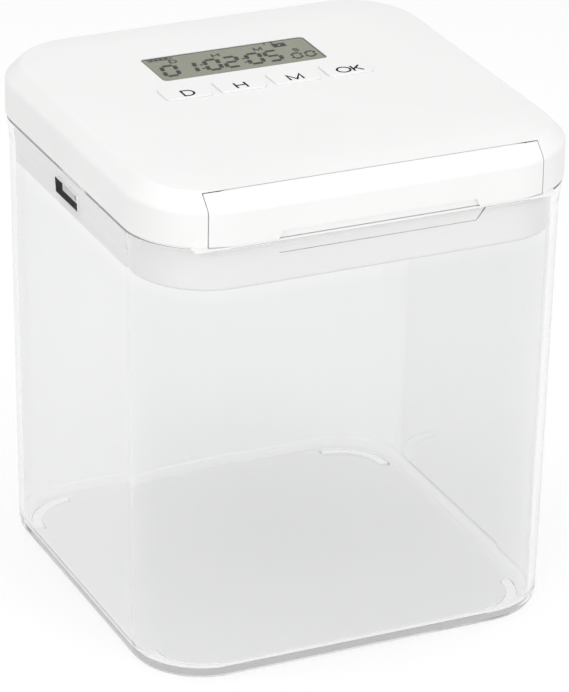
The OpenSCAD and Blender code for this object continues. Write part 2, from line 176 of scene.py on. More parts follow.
def bake_modifiers(obj):
    bpy.context.view_layer.update()
    graph = bpy.context.evaluated_depsgraph_get()
    mesh = bpy.data.meshes.new_from_object(obj.evaluated_get(graph))
    obj.modifiers.clear()
    old, obj.data = obj.data, mesh
    bpy.data.meshes.remove(old)


def merge(obj, operation, other):
    """A boolean of obj with another object, which is then removed."""
    step = obj.modifiers.new("step", "BOOLEAN")
    step.operation, step.solver, step.object = operation, "EXACT", other
    bake_modifiers(obj)
    bpy.data.objects.remove(other)


def combine(obj, operation, *makers):
    """A boolean of obj with each maker's solid in turn."""
    for make in makers:
        merge(obj, operation, build("cutter", make))


def boxed(x, y, z):
    """A maker of one box."""
    return lambda bm: add_prism(bm, box_outline(x, y), *z)


def rounded(x, y, w, d, r, z):
    """A maker of one slab with round corners."""
    return lambda bm: add_prism(bm, round_rect(x, y, w, d, r), *z)


def pegged(x, y, r, z):
    """A maker of one upright cylinder."""
    return lambda bm: add_prism(bm, disc(x, y, r, 32), *z)


def pinned(x, y, z, r):
    """A maker of one cylinder that lies along X."""
    return lambda bm: add_prism(bm, disc(y, z, r, 24), *x, "X")


def soften(obj, width, segments=2, sharp=40.0):
    """Rounds the hard edges, then smooths what is left, with flat faces kept flat."""
    bevel = obj.modifiers.new("edges", "BEVEL")
    bevel.width, bevel.segments = width * MM, segments
    bevel.limit_method, bevel.angle_limit = "ANGLE", math.radians(38)
    bevel.use_clamp_overlap = True
    bake_modifiers(obj)
    obj.data.shade_smooth()
    obj.data.set_sharp_from_angle(angle=math.radians(sharp))
    weigh = obj.modifiers.new("normals", "WEIGHTED_NORMAL")
    weigh.keep_sharp = True
    weigh.weight = 80


# --------------------------------------------------------------- materials


def node_material(name):
    mat = bpy.data.materials.new(name)
    mat.use_nodes = True
    nodes, links = mat.node_tree.nodes, mat.node_tree.links
    return mat, nodes, links, nodes["Principled BSDF"]


def noise(nodes, links, scale, detail=3.0, roughness=0.5, stretch=(1, 1, 1)):
    where = nodes.new("ShaderNodeTexCoord")
    place = nodes.new("ShaderNodeMapping")
    place.inputs["Scale"].default_value = stretch
    tex = nodes.new("ShaderNodeTexNoise")
    tex.inputs["Scale"].default_value = scale
    tex.inputs["Detail"].default_value = detail
    tex.inputs["Roughness"].default_value = roughness
    links.new(where.outputs["Object"], place.inputs["Vector"])
    links.new(place.outputs["Vector"], tex.inputs["Vector"])
    return tex.outputs["Fac"]


def ramp(nodes, links, source, stops):
    out = nodes.new("ShaderNodeValToRGB")
    while len(out.color_ramp.elements) < len(stops):
        out.color_ramp.elements.new(0.5)
    for element, (at, colour) in zip(out.color_ramp.elements, stops):
        element.position = at
        element.color = (*colour, 1.0)
    links.new(source, out.inputs["Fac"])
    return out.outputs["Color"]


def spread(nodes, links, source, low, high):
    out = nodes.new("ShaderNodeMapRange")
    out.inputs["From Min"].default_value = 0.3
    out.inputs["From Max"].default_value = 0.7
    out.inputs["To Min"].default_value = low
    out.inputs["To Max"].default_value = high
    links.new(source, out.inputs["Value"])
    return out.outputs["Result"]


def bump(nodes, links, shader, source, height_mm):
    node = nodes.new("ShaderNodeBump")
    node.inputs["Strength"].default_value = 1.0
    node.inputs["Distance"].default_value = height_mm * MM
    links.new(source, node.inputs["Height"])
    links.new(node.outputs["Normal"], shader.inputs["Normal"])


def plastic(name, colour, rough=0.4, grain=2600.0, depth=0.006, drift=0.012, gloss=0.5, soft=0.0):
    """Moulded plastic: a fine spark texture and a slow change of colour and gloss."""
    mat, nodes, links, shader = node_material(name)
    slow = noise(nodes, links, 22.0)
    pale = tuple(min(1.0, c * (1 + drift)) for c in colour)
    deep = tuple(c * (1 - drift) for c in colour)
    links.new(ramp(nodes, links, slow, [(0.35, deep), (0.65, pale)]), shader.inputs["Base Color"])
    fine = noise(nodes, links, grain, 2.0)
    links.new(spread(nodes, links, slow, rough - 0.03, rough + 0.03), shader.inputs["Roughness"])
    bump(nodes, links, shader, fine, depth)
    shader.inputs["Subsurface Weight"].default_value = soft
    shader.inputs["Subsurface Radius"].default_value = (0.8, 0.8, 0.8)
    shader.inputs["Subsurface Scale"].default_value = 0.0015
    shader.inputs["Specular IOR Level"].default_value = gloss
    return mat


def metal(name, colour, rough=0.3, stretch=(1, 1, 14), depth=0.003):
    """Bare metal with fine drawn lines along one axis and slow patches of tarnish."""
    mat, nodes, links, shader = node_material(name)
    shader.inputs["Metallic"].default_value = 1.0
    lines = noise(nodes, links, 900.0, 3.0, 0.6, stretch)
    patches = noise(nodes, links, 120.0)
    deep = tuple(c * 0.88 for c in colour)
    links.new(ramp(nodes, links, patches, [(0.3, deep), (0.7, colour)]), shader.inputs["Base Color"])
    links.new(spread(nodes, links, lines, rough - 0.08, rough + 0.1), shader.inputs["Roughness"])
    bump(nodes, links, shader, lines, depth)
    return mat


LATE_BOUNCES, LATE_TINT, SOFT_TINT = 4.5, 0.62, 0.97
# Depth under the plug's bottom over which the painted light on the tub fades in
BAND_FADE = 0.004


def clear(name, colour, painted_light_colour, ior, ripple):
    """Clear moulded plastic, paler from the lid's band upwards: painted light that brightens the lid's band
    seen through it.

    Soft light goes straight through it, and so do rays that have bounced inside it many times.
    """
    mat, nodes, links, shader = node_material(name)
    where = nodes.new("ShaderNodeTexCoord")
    axes = nodes.new("ShaderNodeSeparateXYZ")
    links.new(where.outputs["Object"], axes.inputs[0])
    height = nodes.new("ShaderNodeMapRange")
    height.inputs["From Min"].default_value = PLUG_Z * MM - BAND_FADE
    height.inputs["From Max"].default_value = PLUG_Z * MM
    links.new(axes.outputs["Z"], height.inputs["Value"])
    links.new(
        ramp(nodes, links, height.outputs["Result"], [(0.0, colour), (1.0, painted_light_colour)]),
        shader.inputs["Base Color"],
    )
    shader.inputs["Roughness"].default_value = 0.0
    shader.inputs["IOR"].default_value = ior
    shader.inputs["Transmission Weight"].default_value = 1.0
    bump(nodes, links, shader, noise(nodes, links, 16.0, 1.0), ripple)
    path = nodes.new("ShaderNodeLightPath")
    late = nodes.new("ShaderNodeMath")
    late.operation = "GREATER_THAN"
    late.inputs[1].default_value = LATE_BOUNCES
    links.new(path.outputs["Ray Depth"], late.inputs[0])
    soft = nodes.new("ShaderNodeMath")
    soft.operation = "MAXIMUM"
    links.new(path.outputs["Is Shadow Ray"], soft.inputs[0])
    links.new(path.outputs["Is Diffuse Ray"], soft.inputs[1])
    skin = shader.outputs[0]
    for share, tint in ((late.outputs[0], LATE_TINT), (soft.outputs[0], SOFT_TINT)):
        through = nodes.new("ShaderNodeBsdfTransparent")
        through.inputs["Color"].default_value = (tint, tint, tint, 1.0)
        both = nodes.new("ShaderNodeMixShader")
        links.new(share, both.inputs["Fac"])
        links.new(skin, both.inputs[1])
        links.new(through.outputs[0], both.inputs[2])
        skin = both.outputs[0]
    links.new(skin, nodes["Material Output"].inputs["Surface"])
    return mat


def board_material():
    """Solder-masked board: green lacquer with faint copper tracks under it."""
    mat, nodes, links, shader = node_material("circuit_board")
    tracks = nodes.new("ShaderNodeTexBrick")
    tracks.inputs["Scale"].default_value = 160.0
    tracks.inputs["Mortar Size"].default_value = 0.03
    tracks.inputs["Color1"].default_value = (0.012, 0.10, 0.045, 1)
    tracks.inputs["Color2"].default_value = (0.014, 0.12, 0.05, 1)
    tracks.inputs["Mortar"].default_value = (0.03, 0.19, 0.08, 1)
    where = nodes.new("ShaderNodeTexCoord")
    links.new(where.outputs["Object"], tracks.inputs["Vector"])
    links.new(tracks.outputs["Color"], shader.inputs["Base Color"])
    shader.inputs["Roughness"].default_value = 0.35
    shader.inputs["Coat Weight"].default_value = 0.4
    bump(nodes, links, shader, tracks.outputs["Fac"], 0.02)
    return mat


def display_material():
    """The reflective back of a liquid crystal cell: olive grey, faintly mottled, a little uneven."""
    mat, nodes, links, shader = node_material("display_cell")
    slow = noise(nodes, links, 60.0, 2.0)
    links.new(
        ramp(nodes, links, slow, [(0.3, (0.222, 0.236, 0.168)), (0.7, (0.245, 0.258, 0.184))]),
        shader.inputs["Base Color"],
    )
    shader.inputs["Roughness"].default_value = 0.45
    shader.inputs["Specular IOR Level"].default_value = 0.15
    bump(nodes, links, shader, noise(nodes, links, 5000.0, 1.0), 0.004)
    return mat


WHITE = (0.86, 0.86, 0.855)
MATERIALS = {
    "white_plastic": plastic("white_plastic", WHITE, 0.42, soft=0.06),
    "key_plastic": plastic("key_plastic", WHITE, 0.38, soft=0.06),
    "bolt_plastic": plastic("bolt_plastic", (0.80, 0.80, 0.78), 0.35, 1800.0),
    "inner_plastic": plastic("inner_plastic", (0.72, 0.72, 0.70), 0.45, 1500.0),
    "dark_plastic": plastic("dark_plastic", (0.030, 0.030, 0.033), 0.38, 1800.0, 0.008, 0.1),
    "stem_plastic": plastic("stem_plastic", (0.42, 0.03, 0.025), 0.3, 1800.0),
    "rubber_strip": plastic("rubber_strip", (0.02, 0.02, 0.022), 0.7, 900.0, 0.02, 0.15),
    "cell_jacket": plastic("cell_jacket", (0.02, 0.06, 0.05), 0.25, 700.0, 0.002, 0.1),
    "wire_jacket": plastic("wire_jacket", (0.10, 0.012, 0.012), 0.4, 900.0, 0.01, 0.1),
    "steel": metal("steel", (0.56, 0.57, 0.58), 0.28),
    "brass": metal("brass", (0.62, 0.44, 0.19), 0.32, (14, 1, 1)),
    # The tub's second, paler colour is painted light on its upper part, so the band behind it shows brighter
    "clear_plastic": clear("clear_plastic", (0.92, 0.923, 0.923), (0.952, 0.954, 0.954), 1.45, 0.02),
    "display_window": clear("display_window", (0.97, 0.98, 0.97), (0.97, 0.98, 0.97), 1.12, 0.005),
    "display_cell": display_material(),
    "circuit_board": board_material(),
}
INK = plastic("label_ink", (0.010, 0.010, 0.011), 0.7, 3000.0, 0.002, 0.1, 0.05)
SEGMENT = plastic("display_segment", (0.004, 0.004, 0.003), 0.7, 3000.0, 0.001, 0.1, 0.02)
# The bolt guides' own dark plastic, also used as the painted shade inside the strike slots
GUIDE_AND_SLOT_SHADE = plastic("guide_and_slot_shade", (0.055, 0.055, 0.055), 0.6, 1800.0, 0.008, 0.1, 0.05)


def finish_piece(obj, body, slot, replaces=(), material=None):
    obj.data.materials.clear()
    obj.data.materials.append(material or MATERIALS[slot])
    for face in obj.data.polygons:
        face.material_index = 0
    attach(obj, body)
    if replaces:
        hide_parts(*replaces)
    return obj


# --------------------------------------------------------------- CAD nodes


def smooth_by_angle(degrees):
    """A node group that smooths every face and keeps the edges steeper than the angle sharp."""
    group = bpy.data.node_groups.new("smooth_by_angle", "GeometryNodeTree")
    group.interface.new_socket("Geometry", in_out="INPUT", socket_type="NodeSocketGeometry")
    group.interface.new_socket("Geometry", in_out="OUTPUT", socket_type="NodeSocketGeometry")
    start, end = group.nodes.new("NodeGroupInput"), group.nodes.new("NodeGroupOutput")
    faces = group.nodes.new("GeometryNodeSetShadeSmooth")
    edges = group.nodes.new("GeometryNodeSetShadeSmooth")
    edges.domain = "EDGE"
    edges.inputs["Shade Smooth"].default_value = False
    angle = group.nodes.new("GeometryNodeInputMeshEdgeAngle")
    steep = group.nodes.new("FunctionNodeCompare")
    steep.operation = "GREATER_THAN"
    steep.inputs["B"].default_value = math.radians(degrees)
    group.links.new(start.outputs[0], faces.inputs["Geometry"])
    group.links.new(angle.outputs["Unsigned Angle"], steep.inputs["A"])
    group.links.new(steep.outputs["Result"], edges.inputs["Selection"])
    group.links.new(faces.outputs[0], edges.inputs["Geometry"])
    group.links.new(edges.outputs[0], end.inputs[0])
    return group


SMOOTH = smooth_by_angle(32)


def dress(cad, width):
    """Small round edges and smooth curved faces for a carried solid, by modifiers alone."""
    cad.modifiers.new("weld", "WELD").merge_threshold = 1e-6
    flat = cad.modifiers.new("flat", "DECIMATE")
    flat.decimate_type, flat.angle_limit = "DISSOLVE", math.radians(0.5)
    bevel = cad.modifiers.new("edges", "BEVEL")
    bevel.width, bevel.segments = width * MM, 2
    bevel.limit_method, bevel.angle_limit = "ANGLE", math.radians(35)
    cad.modifiers.new("smooth", "NODES").node_group = SMOOTH
    cad.modifiers.new("normals", "WEIGHTED_NORMAL").keep_sharp = True


for entry in frame["record"]["subparts"]:
    cad = frame["nodes"][entry["node"]]
    cad.data.materials.clear()
    guide = entry["node"].startswith("bolt_guide")
    cad.data.materials.append(GUIDE_AND_SLOT_SHADE if guide else MATERIALS[entry["material_slot"]])
    dress(cad, 0.12)

# -------------------------------------------------------------------- tub

FOOT_H, FLOOR_TOP, FLARE_Z = 1.0, 4.0, 134.6
FOOT_IN, FOOT_OUT = 14, 17.5

# Each profile point is (distance in from the lid's side, height, corner radius)
tub_profile = round_path(
    [
        (20, FOOT_H, 0), (3.1, FOOT_H, 4.0), (1.2, FLARE_Z, 30), (0.3, RIM_Z, 0.5),
        (2.5, RIM_Z, 0.5), (3.4, FLARE_Z, 30), (5.3, FLOOR_TOP, 3.0), (20, FLOOR_TOP, 0),
    ],
    8,
)


def tub_feet(bm):
    """Four raised arcs under the corners, each standing on the table."""
    high = FOOT_H + 0.2
    section = [(FOOT_IN, high, 0), (FOOT_IN, 0, 0.3), (FOOT_OUT, 0, 0.3), (FOOT_OUT, high, 0)]
    section = round_path(section, 3)
    steps = 30
    for q in range(4):
        turn = math.pi / 2 * q
        cx, cy = (CENTRE * s for s in ((1, 1), (-1, 1), (-1, -1), (1, -1))[q])
        rows = []
        for k in range(steps + 1):
            c, s = math.cos(turn + math.pi / 2 * k / steps), math.sin(turn + math.pi / 2 * k / steps)
            rows.append([bm.verts.new(Vector((cx + r * c, cy + r * s, z)) * MM) for r, z in section])
        n = len(section)
        for low, high in zip(rows, rows[1:]):
            for k in range(n):
                bm.faces.new((low[k], low[(k + 1) % n], high[(k + 1) % n], high[k]))
        bm.faces.new(rows[0][::-1])
        bm.faces.new(rows[-1])


def strike_slots(bm):
    """One rounded bar through both side walls."""
    (y0, y1), (z0, z1) = SLOT_Y, SLOT_Z
    outline = round_rect((y0 + y1) / 2, (z0 + z1) / 2, y1 - y0, z1 - z0, 0.4, 4)
    add_prism(bm, outline, -72, 72, "X")


def rim_notch(bm):
    """The thumb notch under the flap, wider at the rim."""
    wide, narrow = GRIP_HALF + 3.4, GRIP_HALF + 0.6
    outline = mirrored([(wide, RIM_Z + 1), (wide, RIM_Z), (narrow, RIM_Z - 3.9)])
    add_prism(bm, outline, -71.5, -68.9, "Y")


tub = build("tub", lambda bm: add_sweep(bm, tub_profile, 30))
combine(tub, "UNION", tub_feet)
combine(tub, "DIFFERENCE", strike_slots, rim_notch)
soften(tub, 0.15, 2, 30)
finish_piece(tub, "tub", "clear_plastic", ["container"])


def painted_slot_shade(bm, side):
    """Painted shade: thin dark sheets on the lower and rear faces inside one strike slot."""
    (y0, y1), (z0, z1) = SLOT_Y, SLOT_Z
    thick, high = 0.06, z1 - 0.2
    inner, outer_low, outer_high = 66.7, 68.75, 69.1
    floor_x = sorted((side * inner, side * outer_low))
    add_prism(bm, box_outline(floor_x, (y0 + 0.3, y1)), z0, z0 + thick)
    rear = [(inner, z0), (outer_low, z0), (outer_high, high), (inner, high)]
    add_prism(bm, [(side * x, z) for x, z in rear], y1 - thick, y1, "Y")


# Painted shade inside both strike slots, in the guides' dark material
for word, side in (("left", -1), ("right", 1)):
    slot_shade = build("painted_slot_shade_" + word, lambda bm: painted_slot_shade(bm, side))
    finish_piece(slot_shade, "tub", "dark_plastic", material=GUIDE_AND_SLOT_SHADE)

# --------------------------------------------------------------- lid base

# The battery bay, the gearbox's underside, and where ribs and cutters start
BAY_X, BAY_Y = 25.8, (-51.8, -18.7)
GEAR_Z = PLUG_Z + 10.3
RIB_Z = PLUG_Z + 1.9
CUT_Z = PLUG_Z - 1
BAY_WALL, DOOR_LEDGE = 2.2, 0.95
PILOT_R, HEAD_R, SHANK_R = 1.02, 3.2, 1.5
base_profile = round_path(
    [
        (25, PLUG_Z, 0), (3.8, PLUG_Z, 1.4), (3.8, RIM_Z, 0), (0.6, RIM_Z, 0.15), (0.6, LID_Z, 0.15),
        (2.2, LID_Z, 0), (2.2, LID_Z + 2, 0), (3.9, LID_Z + 2, 0), (3.9, LID_Z, 0),
        (5.8, LID_Z, 0), (5.8, PLUG_Z + 2, 0.8), (25, PLUG_Z + 2, 0),
    ],
    6,
)
BOSSES = [(x, y) for x in (-BOSS, BOSS) for y in (-BOSS, BOSS)]
base = build("lid_plug", lambda bm: add_sweep(bm, base_profile, 30))
combine(
    base,
    "DIFFERENCE",
    boxed((-58.3, 58.3), (-PAST_SIDE, -55), (LID_Z, LID_Z + 3)),
    boxed((-PAST_SIDE, PAST_SIDE), (SLOT_Y[0] + 0.2, NOSE_END + 0.2), (SLOT_Z[0] + 0.2, SLOT_Z[1] - 0.2)),
)
combine(
    base,
    "UNION",
    boxed((-58, 58), (-69.4, -58.8), (RIM_Z, LID_Z)),
    boxed(
        (-BAY_X - BAY_WALL, BAY_X + BAY_WALL),
        (BAY_Y[0] - BAY_WALL, BAY_Y[1] + BAY_WALL),
        (RIB_Z, PLUG_Z + 15.2),
    ),
    boxed((-6.5, 6.5), (BAY_Y[1] + 1.5, -8), (RIB_Z, PLUG_Z + 7.8)),
    boxed((-6, 6), (4.5, 27), (RIB_Z, GEAR_Z - 5)),
    boxed((-13, 13), (5.5, 12.5), (RIB_Z, GEAR_Z - 5.02)),
    *[boxed((12, 50), (y - 0.7, y + 0.7), (RIB_Z, PLUG_Z + 4.4)) for y in (-3.7, 3.7)],
    *[boxed((x, x + 4), (-4.4, 4.4), (RIB_Z, PLUG_Z + 18)) for x in (-22, -46)],
    *[pegged(x, y, 5, (RIB_Z, PLUG_Z + 4.8)) for x, y in BOSSES],
)
combine(
    base,
    "DIFFERENCE",
    boxed((-BAY_X, BAY_X), BAY_Y, (CUT_Z, PLUG_Z + 14)),
    boxed(
        (-BAY_X - DOOR_LEDGE, BAY_X + DOOR_LEDGE),
        (BAY_Y[0] - DOOR_LEDGE, BAY_Y[1] + DOOR_LEDGE),
        (CUT_Z, PLUG_Z + 2),
    ),
    boxed((-5.15, 5.15), (BAY_Y[1], -9.35), (CUT_Z, PLUG_Z + 2)),
    pegged(0, -13, PILOT_R, (PLUG_Z + 1, PLUG_Z + 7.3)),
    boxed((-50, -10), (-2.6, 2.6), (PLUG_Z + 15.9, PLUG_Z + 20)),
    *[pegged(x, 9, PILOT_R, (PLUG_Z + 2.8, GEAR_Z)) for x in (-10.2, 10.2)],
    *[pegged(x, y, HEAD_R, (CUT_Z, PLUG_Z + 2.4)) for x, y in BOSSES],
    *[pegged(x, y, SHANK_R, (CUT_Z, PLUG_Z + 6)) for x, y in BOSSES],
)
soften(base, 0.15, 2)
finish_piece(base, "lid", "white_plastic", ["lid_base"])

# -------------------------------------------------------------------- lid


def crown(inset):
    """The height of the lid's slightly domed top."""
    return TOP_Z - 1.18 * ((25 - inset) / 19.9) ** 2.2


cover_outer = [(2.0, LID_Z, 0), (0, LID_Z, 0.25), (0, BEVEL_Z, 2.4), (4.54, 158.74, 2.6)]
cover_outer += [(i, crown(i), 0) for i in (6.6, 8, 10, 12, 14, 16, 18, 20, 22, 24, 25)]
cover_inner = [(25, ROOF_Z), (20, 157.94), (15, 157.72), (10, 157.37), (5.6, 156.97), (2, 153.37)]
cover_profile = cover_inner + round_path(cover_outer, 6)


def cover_solid(bm):
    """The whole dome of the lid, filled in."""
    add_sweep(bm, [(25, LID_Z)] + round_path([(0, LID_Z, 0)] + cover_outer[2:], 6))


def flap_gap(bm):
    """The room for the flap at the lid's front."""
    add_prism(bm, box_outline((-PAST_SIDE, GAP_Y), (LID_Z - 1, PAST_TOP)), -CHEEK_X, CHEEK_X, "X")


def hinge_gap(bm):
    """The room behind it, in which the flap's round back swings."""
    add_prism(bm, disc(HINGE_Y, HINGE_Z, LIP_R, 72), -CHEEK_X, CHEEK_X, "X")


def front_walls(bm):
    """The wall behind the flap and the two cheeks that hold its pins."""
    wide, front, wall, back = 58, -PAST_SIDE, -60.6, -59.0
    outline = [
        (-wide, front), (-CHEEK_X, front), (-CHEEK_X, wall), (CHEEK_X, wall),
        (CHEEK_X, front), (wide, front), (wide, back), (-wide, back),
    ]
    add_prism(bm, outline, LID_Z, TOP_Z - 1.2)


def bosses(bm):
    """Four screw bosses at the corners and four shorter ones for the board."""
    for x, y in BOSSES:
        add_prism(bm, disc(x, y, 3.5), PLUG_Z + 4.8, ROOF_Z + 0.2)
    for x, y in POSTS:
        add_prism(bm, disc(x, y, 2.5), 153.0, ROOF_Z + 0.2)


def boss_bores(bm):
    """The screws' pilot holes."""
    for x, y in BOSSES:
        add_prism(bm, disc(x, y, 1.28, 24), PLUG_Z + 4, LID_Z + 3)
    for x, y in POSTS:
        add_prism(bm, disc(x, y, 0.92, 24), 152, ROOF_Z - 1)


def top_openings(bm):
    """The display's window and the keys' holes."""
    add_prism(bm, round_rect(WIN_X, WIN_Y, WIN_W, WIN_D, 1.5), ROOF_Z - 1, PAST_TOP)
    for x in KEY_X:
        add_prism(bm, round_rect(x, KEY_Y, KEY_W + 0.3, KEY_D + 0.3, 1.5), ROOF_Z - 1, PAST_TOP)


walls = build("walls", front_walls)
combine(walls, "INTERSECT", cover_solid)
cover = build("lid_top", lambda bm: add_sweep(bm, cover_profile))
merge(cover, "UNION", walls)
combine(cover, "UNION", bosses)
combine(cover, "DIFFERENCE", boss_bores, flap_gap, hinge_gap, top_openings)
for x in (-PIN_X, PIN_X):
    combine(cover, "DIFFERENCE", pinned((x - 2, x + 2), HINGE_Y, HINGE_Z, PIN_BORE_R))
soften(cover, 0.07, 2)
finish_piece(cover, "lid", "white_plastic", ["lid_cover"])

# ------------------------------------------------------------------- flap


def flap_box(bm):
    """Where the flap lies within the lid's dome."""
    outline = box_outline((-PAST_SIDE, FLAP_Y), (LID_Z + SHUT_GAP, PAST_TOP))
    add_prism(bm, outline, -FLAP_HALF, FLAP_HALF, "X")


def flap_webs(bm):
    """A round cheek at each end of the flap, about its pin."""
    half = 1.9
    for middle in (half - FLAP_HALF, FLAP_HALF - half):
        add_prism(bm, disc(HINGE_Y, HINGE_Z, SWING_R - 0.4, 72), middle - half, middle + half, "X")


def web_box(bm):
    """The webs end a little behind the pin."""
    add_prism(bm, box_outline((-PAST_SIDE, HINGE_Y + 2.2), (LID_Z, PAST_TOP)), -60, 60, "X")


def grip(bm):
    """The shallow finger recess, rounded at its upper corners."""
    low = LID_Z + SHUT_GAP
    high, wide = low + GRIP_H, GRIP_HALF + 1.2
    right = round_path([(0, high, 0), (GRIP_HALF, high, 0.7), (wide, low, 0), (wide, low - 1, 0)], 5)
    add_prism(bm, mirrored(right[1:]), -PAST_SIDE, -HALF + GRIP_D, "Y")


webs = build("webs", flap_webs)
combine(webs, "INTERSECT", cover_solid, web_box)
flap = build("flap", lambda bm: add_sweep(bm, cover_profile))
combine(flap, "INTERSECT", flap_box)
merge(flap, "UNION", webs)
combine(flap, "DIFFERENCE", grip, pinned((-60, 60), HINGE_Y, HINGE_Z, FLAP_BORE_R))
soften(flap, 0.07, 2)
finish_piece(flap, "flap", "white_plastic", ["front_flap"])

# ------------------------------------------------------------------- keys

KEYS = ["key_days", "key_hours", "key_minutes", "key_ok"]
# The cap ends a little under its label
CAP_Z, FLANGE_Z = (157.85, KEY_TOP - 0.03), (157.0, 157.9)
for name, x in zip(KEYS, KEY_X):
    cap = build(name + "_cap", rounded(x, KEY_Y, KEY_W + 0.1, KEY_D + 0.1, 1.4, CAP_Z))
    combine(cap, "UNION", rounded(x, KEY_Y, KEY_W + 1.8, KEY_D + 1.6, 1.2, FLANGE_Z))
    soften(cap, 0.4, 3)
    finish_piece(cap, name, "key_plastic", [name])

# ------------------------------------------------- printed and lit strokes


def add_stroke(bm, path, width, low, high, closed=False):
    """A flat raised line of even width along a path."""
    pts = [Vector(p) for p in path]
    n = len(pts)
    sides = []
    for i, p in enumerate(pts):
        before = pts[i - 1] if i or closed else None
        after = pts[(i + 1) % n] if i < n - 1 or closed else None
        a = (p - before).normalized() if before is not None else (after - p).normalized()
        b = (after - p).normalized() if after is not None else a
        across = Vector((-(a + b).y, (a + b).x)).normalized()
        reach = width / 2 / max(0.45, across.dot(Vector((-a.y, a.x))))
        sides.append((p + across * reach, p - across * reach))
    rows = [
        [bm.verts.new(Vector((q.x, q.y, z)) * MM) for q, z in ((l, low), (r, low), (r, high), (l, high))]
        for l, r in sides
    ]
    loop = rows + rows[:1] if closed else rows
    for one, two in zip(loop, loop[1:]):
        for k in range(4):
            bm.faces.new((one[k], one[(k + 1) % 4], two[(k + 1) % 4], two[k]))
    if not closed:
        bm.faces.new(rows[0][::-1])
        bm.faces.new(rows[-1])


def oval(cx, cy, rx, ry, start=0.0, end=360.0, n=28):
    """Points on an ellipse, with its last point left out when it closes."""
    count = n if end - start >= 360 else n + 1
    turns = [math.radians(start + (end - start) * k / n) for k in range(count)]
    return [(cx + rx * math.cos(a), cy + ry * math.sin(a)) for a in turns]


# Letters as strokes in a box 1 wide and 1 high: (path, closed)
LETTERS = {
    "D": [([(0, 0), (0, 1), (0.42, 1)] + oval(0.42, 0.5, 0.58, 0.5, 80, -80, 14) + [(0.42, 0)], True)],
    "H": [([(0, 0), (0, 1)], False), ([(1, 0), (1, 1)], False), ([(0, 0.52), (1, 0.52)], False)],
    "M": [([(0, 0), (0, 1), (0.5, 0.08), (1, 1), (1, 0)], False)],
    "O": [(oval(0.5, 0.5, 0.5, 0.5), True)],
    "K": [([(0, 0), (0, 1)], False), ([(0.95, 1), (0.02, 0.36)], False), ([(0.33, 0.58), (1, 0)], False)],
    "S": [(
        [
            (1, 0.86), (0.8, 1), (0.2, 1), (0, 0.86), (0, 0.64), (0.2, 0.52),
            (0.8, 0.48), (1, 0.36), (1, 0.14), (0.8, 0), (0.2, 0), (0, 0.14),
        ],
        False,
    )],
}


def add_letter(bm, letter, x, y, w, h, width, low, high, lean=0.0):
    for path, closed in LETTERS[letter]:
        add_stroke(bm, [(x + u * w + v * h * lean, y + v * h) for u, v in path], width, low, high, closed)


# (letter, left edge from the key's middle, width)
LABELS = {
    "key_days": [("D", -1.3, 3.5)],
    "key_hours": [("H", -1.75, 3.3)],
    "key_minutes": [("M", -2.1, 4.3)],
    "key_ok": [("O", -3.6, 4.2), ("K", 1.5, 2.9)],
}
LABEL_Y, LABEL_H, LABEL_STROKE = 2.3, 4.1, 0.66


def add_label(bm, name, x):
    """The letters printed on one key."""
    for letter, left, wide in LABELS[name]:
        place = (x + left, LABEL_Y, wide, LABEL_H)
        add_letter(bm, letter, *place, LABEL_STROKE, KEY_TOP - 0.05, KEY_TOP)


for name, x in zip(KEYS, KEY_X):
    text = build(name + "_label", lambda bm: add_label(bm, name, x))
    finish_piece(text, name, "key_plastic", material=INK)

# ---------------------------------------------------------------- display

LEAN, DIGIT_Y = 0.16, 20.95
FACE_Z = TOP_Z - 0.3
SEGMENT_LOW, SEGMENT_HIGH = FACE_Z - 0.01, FACE_Z + 0.02
LIT = {"0": "abcdef", "1": "bc", "2": "abged", "5": "afgcd"}
# The small letters over the figures: (letter, left, bottom, width, height)
UNITS = [
    ("D", -22.9, 30.8, 2.1, 2.3),
    ("H", -8.9, 30.8, 2.1, 2.3),
    ("M", 5.1, 30.8, 2.4, 2.3),
    ("S", 16.2, 26.1, 1.5, 1.9),
]


def add_digit(bm, digit, x, y, w, h, t):
    """Seven leaning bars with gaps between them, x and y at the lower left of the figure."""
    gap = t * 0.24
    ends = {
        "a": ((0, h), (w, h)), "g": ((0, h / 2), (w, h / 2)), "d": ((0, 0), (w, 0)),
        "f": ((0, h / 2), (0, h)), "b": ((w, h / 2), (w, h)),
        "e": ((0, 0), (0, h / 2)), "c": ((w, 0), (w, h / 2)),
    }
    for name in LIT[digit]:
        p, q = (Vector(v) for v in ends[name])
        along = (q - p).normalized()
        across = Vector((-along.y, along.x)) * t / 2
        p, q = p + along * gap, q - along * gap
        nib = along * t * 0.3
        bar = [p, p + nib + across, q - nib + across, q, q - nib - across, p + nib - across]
        add_prism(bm, [(x + c.x + c.y * LEAN, y + c.y) for c in bar], SEGMENT_LOW, SEGMENT_HIGH)


